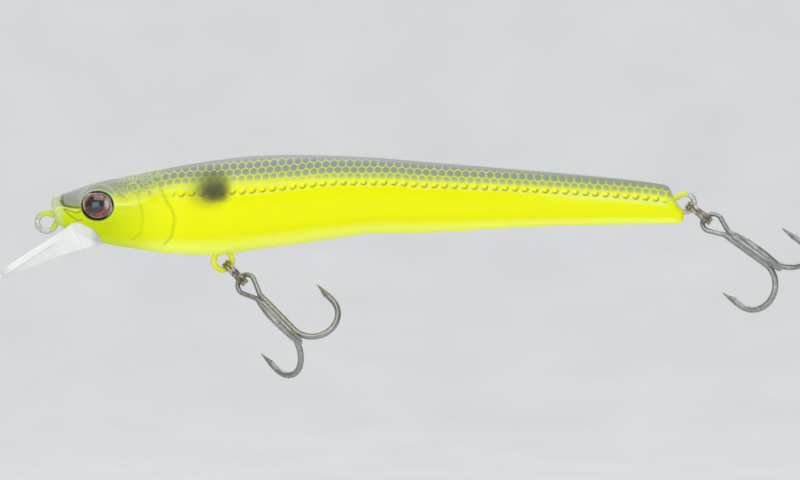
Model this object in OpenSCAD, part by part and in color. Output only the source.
// Minnow lure: two welded body halves, a clear diving bill, wire hangers, split rings,
// treble hooks, and the weights inside.
// X runs from nose to tail, Y across the body, Z up to the back.
// The origin is the centre of the line tie's outer eye.

/* [Body] */
// Length of the body from nose to tail
body_length = 110; // [96:1:132]
// Greatest depth of the body
body_depth = 16.8; // [15.5:0.1:20.5]
// Greatest width of the body
body_width = 12; // [11.4:0.1:14.4]
// Wall of the hollow body
wall = 1.2; // [1:0.1:1.5]

/* [Bill] */
// Greatest width of the diving bill
bill_width = 9.6; // [8:0.1:11.6]
// Thickness of the bill's plate
bill_plate = 1.2; // [1:0.1:1.5]

/* [Hangers and split rings] */
// Wire of the line tie and the two hangers
hanger_wire = 1.0; // [0.8:0.05:1.1]
// Mean diameter of a hanger's outer eye
hanger_eye = 3.16; // [3.1:0.02:3.8]
// Outer diameter of a split ring
ring_outer = 5.4; // [5:0.1:6.6]
// Width of the ring's strip, measured from its centre outwards
strip_width = 0.5; // [0.4:0.05:0.55]
// Thickness of the ring's strip along its axis
strip_thick = 0.68; // [0.55:0.01:0.7]

/* [Treble hooks] */
// Wire of the hooks
hook_wire = 0.85; // [0.7:0.01:0.88]
// Mean diameter of the hook's eye
hook_eye = 3.4; // [3.3:0.02:4.1]
// Distance from the eye's centre to the centre of the bend
hook_shank = 12.8; // [10:0.1:14.6]
// Mean radius of the bend
hook_bend = 4.3; // [3.6:0.1:5.2]

/* [Weights] */
// Diameter of a transfer ball
ball_d = 4.5; // [3.7:0.1:4.7]
// Diameter of the belly ballast
ballast_d = 3.4; // [2.8:0.1:3.6]
// Length of the belly ballast
ballast_length = 8; // [6:0.1:9]

/* [Rest pose] */
// How far below level the belly hook trails
belly_fall = 45; // [35:1:90]
// How far below level the tail hook trails
tail_fall = 36.5; // [20:1:60]
// How far each treble leans to the left side
hook_lean = 26; // [0:1:40]

/* [Hidden] */
$fn = 48;

// The outlines below are drawn at this size, then stretched to the body's.
drawn_length = 110;
drawn_depth = 16.8;
drawn_width = 12;
nose_x = 0.8;
function at_x(x) = nose_x + (x - nose_x) * body_length / drawn_length;
function at_z(z) = z * body_depth / drawn_depth;
function at_y(y) = y * body_width / drawn_width;

// Back and belly as seen from the side, and the half width as seen from above.
back_line = [
    [0.8, 3.1], [0.95, 4.0], [1.4, 4.6], [2.6, 5.0], [5.8, 6.15], [9.3, 7.2], [16.3, 8.64],
    [23.2, 10.0], [30.2, 11.1], [37.1, 11.8], [42.5, 11.95], [54.5, 11.6], [68.5, 10.5],
    [82.4, 9.36], [96.3, 8.14], [106.8, 6.9], [108, 6.5], [109.2, 4.3], [109.6, 3.2],
    [110.4, 2.45], [110.8, 2.1]
];
belly_line = [
    [0.8, 2.9], [0.95, 2.1], [1.3, 1.25], [2.0, -0.2], [3.3, -1.2], [6, -2.5], [9.9, -3.7],
    [16.3, -4.75], [21, -5.45], [26.7, -5.7], [30.2, -5.66], [37.1, -4.66], [44.1, -3.8],
    [51.1, -2.75], [55.8, -2.1], [61.5, -2.0], [70.2, -1.7], [78, -1.2], [85.9, -0.8],
    [96.3, -0.5], [109, -0.25], [110.4, -0.1], [110.8, 0.4]
];
side_line = [
    [0.8, 0.2], [0.95, 0.9], [1.4, 1.6], [2.6, 2.4], [5, 3.3], [8.9, 4.2], [16, 5.1], [25, 5.75],
    [35, 6.0], [45, 5.9], [55, 5.6], [65, 5.1], [75, 4.5], [85, 3.8], [95, 3.05], [103, 2.4],
    [108, 1.9], [110.4, 1.5], [110.8, 1.1]
];
tail_x = 110.8;
side_power = 0.88;
edge_power = 0.94;

// A smooth curve through a table's points that never swings past them.
function secant(t, i) = (t[i + 1][1] - t[i][1]) / (t[i + 1][0] - t[i][0]);
function mean_slope(a, b) = a * b <= 0 ? 0 : 2 * a * b / (a + b);
function slope(t, i) =
    i == 0 ? secant(t, 0) :
    i == len(t) - 1 ? secant(t, i - 1) :
    mean_slope(secant(t, i - 1), secant(t, i));
function span_at(t, x, i = 0) = i >= len(t) - 2 || x < t[i + 1][0] ? i : span_at(t, x, i + 1);
function blend(v0, v1, m0, m1, w, u) =
    v0 + (v1 - v0) * u * u * (3 - 2 * u)
    + w * (m0 * u * (1 - u) * (1 - u) - m1 * u * u * (1 - u));
function curve(t, x) =
    let (i = span_at(t, x), w = t[i + 1][0] - t[i][0], u = (x - t[i][0]) / w)
    blend(t[i][1], t[i + 1][1], slope(t, i), slope(t, i + 1), w, u);

// One section of the body at a drawn x, shrunk by inset, and reaching no lower than low.
function rim(x, angle, inset, low) =
    let (
        top = at_z(curve(back_line, x)) - inset,
        bottom = max(at_z(curve(belly_line, x)) + inset, low),
        half = at_y(curve(side_line, x)) - inset,
        lift = sin(angle)
    )
    [
        half * sign(cos(angle)) * pow(abs(cos(angle)), side_power),
        (top + bottom) / 2 + (top - bottom) / 2 * sign(lift) * pow(abs(lift), edge_power)
    ];
function section(x, angles, inset, low) = [
    for (a = angles) let (p = rim(x, a, inset, low)) [at_x(x), p[0], p[1]]
];
half_turn = [for (i = [0:12]) -90 + 15 * i];
full_turn = [for (i = [0:15]) -90 + 22.5 * i];
body_stations = concat(
    [0.8, 0.87, 1.0, 1.3, 1.8, 2.6, 3.6, 4.8, 6.2], [for (x = [8:2.25:30.5]) x],
    [for (x = [33:3.5:54]) x], [56, 60], [for (x = [65:5:100]) x],
    [104, 107, 108, 108.6, 109.2, 109.6, 110, 110.4, 110.8]
);

// A solid through a row of sections with the same number of points.
module loft(rows) {
    m = len(rows[0]);
    n = len(rows);
    polyhedron(
        points = [for (row = rows) each row],
        faces = concat(
            [[for (j = [0:m - 1]) j]],
            [[for (j = [m - 1:-1:0]) (n - 1) * m + j]],
            [for (i = [0:n - 2], j = [0:m - 1]) [i * m + j, (i + 1) * m + j, i * m + (j + 1) % m]],
            [for (i = [0:n - 2], j = [0:m - 1])
                [(i + 1) * m + j, (i + 1) * m + (j + 1) % m, i * m + (j + 1) % m]]
        )
    );
}

// Hollow chambers, each from one drawn x to another, and no lower than the third value.
// The walls left between them are the moulded ribs.
no_floor = -20;
chambers = [
    [14.5, 28, 0.7], [34.6, 45.6, no_floor], [46.8, 57.8, no_floor], [59, 70, no_floor],
    [71.2, 82.4, no_floor], [91, 101, no_floor]
];
chamber_steps = 4;
module chamber(c) {
    loft([for (i = [0:chamber_steps])
        section(c[0] + (c[1] - c[0]) * i / chamber_steps, full_turn, wall, c[2])]);
}

// The balls' track.
ball_play = 0.2;
track_r = ball_d / 2 + ball_play;
track_wall = 0.6;
track_from = 36;
track_to = 86;
track_at_z = 4.2;
track_start = at_x(track_from);
track_end = at_x(track_to);
track_z = at_z(track_at_z);
ball_gap = 0.02;
ball_step = ball_d + ball_gap;
ball_z = track_z - ball_play + ball_gap;
first_ball_x = track_start + ball_d / 2 + ball_gap;

// Wire eyes: the legs meet at this half angle where they cross.
cross_angle = 40;
eye_r = hanger_eye / 2;
eye_hole_r = eye_r - hanger_wire / 2;
snout_inner_r = 1.2;
snout_rise = 20.7;
tail_rise = 171;
belly_rise = 90;
function eye_gap(r) = (eye_r + r) / sin(cross_angle);
wire_play = 0.05;
slot_y = hanger_wire / 2 + wire_play;
function toward(angle, d) = [d * cos(angle), 0, d * sin(angle)];
belly_hanger_drop = 1.08;
belly_hanger_x = 30.7;
belly_hanger_at = [
    at_x(belly_hanger_x), 0, at_z(curve(belly_line, belly_hanger_x)) - belly_hanger_drop
];
tail_hanger_out = 0.3;
tail_hanger_z = 3.35;
tail_hanger_at = [at_x(tail_x) + tail_hanger_out, 0, at_z(tail_hanger_z)];

// Linked rings: how far each hangs from the one before.
ring_r = ring_outer / 2;
ring_hole_r = ring_r - strip_width;
coil_gap = 0.04;
ring_half = strip_thick + coil_gap / 2;
link_play = 0.03;
ring_reach = ring_hole_r + sqrt(pow(eye_hole_r, 2) - pow(ring_half, 2)) - link_play;
hook_eye_r = hook_eye / 2;
hook_hole_r = hook_eye_r - hook_wire / 2;
belly_spin = -13.3;
tail_spin = 15;
turned_half = ring_half / cos(tail_spin) + hook_wire / 2 * tan(tail_spin);
hook_play = 0.07;
eye_reach = ring_hole_r + sqrt(pow(hook_hole_r, 2) - pow(turned_half, 2)) - hook_play;

// Treble hooks.
shank_play = 0.02;
shank_x = hook_wire / 2 + shank_play;
single_y = -sqrt(pow(hook_wire, 2) - pow(shank_x, 2));
leg_lean = 22.6;
leg_fillet = 1.5;
leg_length = (hook_eye_r * cos(leg_lean) - shank_x) / sin(leg_lean);
fillet_run = leg_fillet * tan(leg_lean / 2);
shank_top = -hook_eye_r * sin(leg_lean) - leg_length * cos(leg_lean) - fillet_run;
single_drop = 0.3;
belly_single_turn = 10;
tail_single_turn = -12;
single_top = shank_top - single_drop;
spread_angle = 30;
point_length = 3.2;
point_straight = 1.15;
tip_r = 0.03;
barb_length = 1.5;
barb_r = 0.24;
barb_lean = 17;
barb_inset = 0.15 * hook_wire;

// Seats and pins in the halves, placed at the drawn size.
eye_x = 8.9;
eye_z = 2.85;
socket_r = 2.85;
socket_floor = 3.15;
socket_turn = 9;
foil_r = 2.7;
foil_thick = 0.15;
dome_r = 2.5;
dome_height = 0.95;
ballast_from = 18.5;
ballast_z = -2.2;
ballast_play = 0.05;
pin_r = 0.7;
pin_play = 0.05;
pin_length = 1.5;
pin_root = 1;
pins = [[13.1, 4.6], [31.3, 6.5], [88.4, 4.2], [102.6, 3.6]];
bill_seat = [
    [3.4, -1.1], [4.2, -0.25], [5.7, 0], [6.75, -0.5], [8.5, -1.4], [9.9, -3.7], [8, -8], [2, -8]
];
tongue_x = [5.6, 13.4];
tongue_z = [-3, -1.3];
tongue_half = 1;
lock_at = [11.4, -2.15];
lock_r = 0.5;

// The bill from the side: a plate with a deeper keel below it.
bill_root = [3.4, -1.1];
bill_tip = [-8.1, -8.5];
keel_line = [
    bill_root, [-6.6, -7.55], [-8.1, -8.5], [-8.55, -8.95], [-8.4, -9.5], [-7.6, -9.75],
    [-6.7, -9.65], [-4.6, -8.9], [-1.15, -7.3], [2.3, -5.9], [6, -4.83], [9.9, -3.7], [9, -3.3], [6, -2.2]
];
keel_half = 1.5;
// The saddle under the head is cut from the body's own shape between these.
saddle_x = [2, 11];
// Half widths of the plate as shares of bill_width, at distances out from its root.
plate_line = [
    [-1, 0.28], [1, 0.31], [4, 0.38], [8, 0.48], [10, 0.5], [11.8, 0.46], [13, 0.35], [13.7, 0.2]
];
plate_steps = 24;

module wire_arc(radius, angle, wire) {
    rotate_extrude(angle = angle)
        translate([radius, 0])
            circle(d = wire);
}

// A straight stretch is a hair thinner than the bends it runs into, so that they join cleanly.
straight_trim = 0.02;
straight_reach = 0.2;
module straight(from, to, wire) {
    translate([0, 0, from])
        cylinder(h = to - from, r = wire / 2 - straight_trim);
}

// A hanger's two eyes and crossed legs, from the outer eye's centre, rising at an angle from +X.
module figure_eight(inner_r, rise) {
    open = 90 - cross_angle;
    leg = (eye_r + inner_r) / tan(cross_angle);
    rotate([0, -rise, 0])
        rotate([90, 0, 0]) {
            rotate([0, 0, open])
                wire_arc(eye_r, 360 - 2 * open, hanger_wire);
            for (s = [-1, 1])
                translate([eye_r * cos(open), s * eye_r * sin(open), 0])
                    rotate([0, 90, -s * cross_angle])
                        straight(-straight_reach, leg + straight_reach, hanger_wire);
            translate([eye_gap(inner_r), 0, 0])
                rotate([0, 0, open - 180])
                    wire_arc(inner_r, 360 - 2 * open, hanger_wire);
        }
}

// The room that a hanger takes in the halves.
module hanger_slot(at, inner_r, rise) {
    inner = at + toward(rise, eye_gap(inner_r));
    reach = hanger_wire / 2 + wire_play;
    across(at, eye_r + reach, -slot_y, slot_y);
    across(inner, inner_r + reach, -slot_y, slot_y);
    translate(at)
        rotate([0, -rise, 0])
            translate([0, -slot_y, -inner_r])
                cube([eye_gap(inner_r), 2 * slot_y, 2 * inner_r]);
}

// A round bar across the body at a place, from one y to another.
module across(at, r, y0, y1) {
    translate([at[0], y0, at[2]])
        rotate([-90, 0, 0])
            cylinder(h = y1 - y0, r = r);
}

function drawn(p) = [at_x(p[0]), 0, at_z(p[1])];
snout_post = toward(snout_rise, eye_gap(snout_inner_r));
belly_post = belly_hanger_at + toward(belly_rise, eye_gap(eye_r));
tail_post = tail_hanger_at + toward(tail_rise, eye_gap(eye_r));

// A flat outline seen from the side, carried out to half a width on each side.
module side_prism(points, half) {
    rotate([90, 0, 0])
        translate([0, 0, -half])
            linear_extrude(height = 2 * half)
                polygon([for (p = points) [at_x(p[0]), at_z(p[1])]]);
}

module bill_tongue() {
    translate([at_x(tongue_x[0]), -tongue_half, at_z(tongue_z[0])])
        cube([
            at_x(tongue_x[1]) - at_x(tongue_x[0]), 2 * tongue_half, at_z(tongue_z[1]) - at_z(tongue_z[0])
        ]);
}

// Places an eye part on its socket's floor, facing out on the right side.
module on_socket() {
    translate([at_x(eye_x), at_y(socket_floor), at_z(eye_z)])
        rotate([-90, 0, socket_turn])
            children();
}

// What both halves have in common, as the right half.
module plain_half() {
    difference() {
        union() {
            difference() {
                loft([for (x = body_stations) section(x, half_turn, 0, no_floor)]);
                for (c = chambers)
                    chamber(c);
            }
            translate([track_start - track_wall, 0, track_z])
                rotate([0, 90, 0])
                    rotate_extrude(angle = 180)
                        square([track_r + track_wall, track_end - track_start + 2 * track_wall]);
        }
        translate([track_start, 0, track_z])
            rotate([0, 90, 0])
                cylinder(h = track_end - track_start, r = track_r);
        translate([at_x(ballast_from), 0, at_z(ballast_z)])
            rotate([0, 90, 0])
                cylinder(h = ballast_length, r = ballast_d / 2 + ballast_play);
        hanger_slot([0, 0, 0], snout_inner_r, snout_rise);
        hanger_slot(belly_hanger_at, eye_r, belly_rise);
        hanger_slot(tail_hanger_at, eye_r, tail_rise);
        side_prism(bill_seat, body_width);
        bill_tongue();
        on_socket()
            cylinder(h = socket_r, r = socket_r);
    }
}

module left_body_half() {
    color([0.95, 0.97, 0.05]) {
        union() {
            mirror([0, 1, 0])
                plain_half();
            across(snout_post, snout_inner_r - hanger_wire / 2, -pin_root, slot_y);
            across(belly_post, eye_hole_r, -pin_root, slot_y);
            across(tail_post, eye_hole_r, -pin_root, slot_y);
            across(drawn(lock_at), lock_r, -pin_root - tongue_half, tongue_half);
            for (p = pins)
                across(drawn(p), pin_r, -pin_root, pin_length);
        }
    }
}

module right_body_half() {
    color([0.95, 0.97, 0.05])
        difference() {
            plain_half();
            for (p = pins)
                across(drawn(p), pin_r + pin_play, -pin_play, pin_length + pin_play);
        }
}

module bill_plate_solid() {
    root = drawn(bill_root);
    tip = drawn(bill_tip);
    fall = atan2(root[2] - tip[2], root[0] - tip[0]);
    long = norm(root - tip);
    first = plate_line[0][0];
    last = plate_line[len(plate_line) - 1][0];
    row = [for (i = [0:plate_steps]) first + (last - first) * i / plate_steps];
    unit = long / last;
    translate(root)
        rotate([0, 180 - fall, 0])
            linear_extrude(height = bill_plate)
                polygon(concat(
                    [for (s = row) [s * unit, bill_width * curve(plate_line, s)]],
                    [for (i = [plate_steps:-1:0]) [row[i] * unit, -bill_width * curve(plate_line, row[i])]]
                ));
}

module diving_bill() {
    color([0.93, 0.95, 0.94, 0.7])
        difference() {
            union() {
                intersection() {
                    loft([for (x = [saddle_x[0]:saddle_x[1]]) section(x, full_turn, 0, no_floor)]);
                    side_prism(bill_seat, body_width);
                }
                bill_plate_solid();
                side_prism(keel_line, keel_half);
                bill_tongue();
            }
            across(drawn(lock_at), lock_r, -body_width, body_width);
        }
}

module line_tie() {
    color("silver")
        figure_eight(snout_inner_r, snout_rise);
}

module belly_hanger() {
    color([0.9, 0.93, 0.1])
        translate(belly_hanger_at)
            figure_eight(eye_r, belly_rise);
}

module tail_hanger() {
    color("silver")
        translate(tail_hanger_at)
            figure_eight(eye_r, tail_rise);
}

module eye_foil() {
    color([0.5, 0.2, 0.1])
        on_socket()
            cylinder(h = foil_thick, r = foil_r);
}

module eye_dome() {
    ball_r = (dome_r * dome_r + dome_height * dome_height) / (2 * dome_height);
    color([0.8, 0.85, 0.85, 0.4])
        on_socket()
            translate([0, 0, foil_thick])
                intersection() {
                    translate([0, 0, dome_height - ball_r])
                        sphere(r = ball_r);
                    cylinder(h = 2 * dome_height, r = foil_r);
                }
}

module left_eye_foil() {
    mirror([0, 1, 0])
        eye_foil();
}

module left_eye_dome() {
    mirror([0, 1, 0])
        eye_dome();
}

module right_eye_foil() {
    eye_foil();
}

module right_eye_dome() {
    eye_dome();
}

module belly_ballast() {
    color([0.55, 0.55, 0.58])
        translate([at_x(ballast_from), 0, at_z(ballast_z)])
            rotate([0, 90, 0])
                cylinder(h = ballast_length, d = ballast_d);
}

module transfer_ball(n) {
    color([0.7, 0.7, 0.72])
        translate([first_ball_x + (n - 1) * ball_step, 0, ball_z])
            sphere(d = ball_d);
}

// The strip runs nearly twice round. It steps from the first coil to the second over twice this angle.
step_angle = 30;
strip_turn = 720 - 2 * step_angle;
strip_steps = 66;
function strip_rise(angle) =
    let (u = min(1, max(0, (angle - 360 + 2 * step_angle) / (2 * step_angle))))
    -ring_half + (strip_thick + coil_gap) * u * u * (3 - 2 * u);
module split_ring() {
    rotate([0, 0, step_angle])
        loft([for (i = [0:strip_steps])
            let (a = strip_turn * i / strip_steps)
            [for (c = [[0, 0], [0, 1], [1, 1], [1, 0]])
                let (r = ring_hole_r + strip_width * c[0])
                [r * cos(a), r * sin(a), strip_rise(a) + strip_thick * c[1]]
            ]
        ]);
}

// Lays a chain's link so that it hangs from at, falling away behind at an angle below level.
module hung(at, fall) {
    translate(at)
        rotate([0, fall - 90, 0])
            translate([0, 0, -ring_reach])
                children();
}

module ring_link() {
    color([0.3, 0.25, 0.2])
        rotate([0, 90, 0])
            rotate([0, 0, 90])
                split_ring();
}

// A treble leans about its ring's axis, and is turned a little on its own shank.
module hook_link(spin) {
    color([0.56, 0.57, 0.57])
        rotate([-hook_lean, 0, 0])
            translate([0, 0, -eye_reach])
                rotate([0, 0, spin])
                    children();
}

// One limb from its shank's top down and round to the point, opening toward +X.
module limb(top) {
    straight(-hook_shank - straight_reach, top, hook_wire);
    translate([hook_bend, 0, -hook_shank])
        rotate([90, 0, 0])
            rotate([0, 0, 180])
                wire_arc(hook_bend, 180, hook_wire);
    translate([2 * hook_bend, 0, -hook_shank]) {
        straight(-straight_reach, point_straight, hook_wire);
        translate([0, 0, point_straight])
            cylinder(h = point_length, r1 = hook_wire / 2 - straight_trim, r2 = tip_r);
        translate([-barb_inset, 0, point_straight + barb_length])
            rotate([0, 180 + barb_lean, 0])
                cylinder(h = barb_length, r1 = barb_r, r2 = tip_r);
    }
}

module double_hook() {
    rotate([90, 0, 0])
        rotate([0, 0, -leg_lean])
            wire_arc(hook_eye_r, 180 + 2 * leg_lean, hook_wire);
    for (s = [0, 1])
        mirror([s, 0, 0]) {
            translate([hook_eye_r * cos(leg_lean), 0, -hook_eye_r * sin(leg_lean)])
                rotate([0, 180 + leg_lean, 0])
                    straight(-straight_reach, leg_length - fillet_run + straight_reach, hook_wire);
            translate([shank_x + leg_fillet, 0, shank_top])
                rotate([90, 0, 0])
                    rotate([0, 0, 180 - leg_lean])
                        wire_arc(leg_fillet, leg_lean, hook_wire);
            translate([shank_x, 0, 0])
                rotate([0, 0, spread_angle])
                    limb(shank_top + straight_reach);
        }
}

module single_hook(turn) {
    translate([0, single_y, 0])
        rotate([0, 0, turn - 90])
            limb(single_top);
}

module belly_split_ring() {
    hung(belly_hanger_at, belly_fall)
        ring_link();
}

module belly_double_hook() {
    hung(belly_hanger_at, belly_fall)
        hook_link(belly_spin)
            double_hook();
}

module belly_single_hook() {
    hung(belly_hanger_at, belly_fall)
        hook_link(belly_spin)
            single_hook(belly_single_turn);
}

module tail_split_ring() {
    hung(tail_hanger_at, tail_fall)
        ring_link();
}

module tail_double_hook() {
    hung(tail_hanger_at, tail_fall)
        hook_link(tail_spin)
            double_hook();
}

module tail_single_hook() {
    hung(tail_hanger_at, tail_fall)
        hook_link(tail_spin)
            single_hook(tail_single_turn);
}

left_body_half();
right_body_half();
diving_bill();
line_tie();
belly_hanger();
tail_hanger();
left_eye_foil();
left_eye_dome();
right_eye_foil();
right_eye_dome();
belly_ballast();
transfer_ball(1);  // transfer_ball_1
transfer_ball(2);  // transfer_ball_2
transfer_ball(3);  // transfer_ball_3
belly_split_ring();
belly_double_hook();
belly_single_hook();
tail_split_ring();
tail_double_hook();
tail_single_hook();
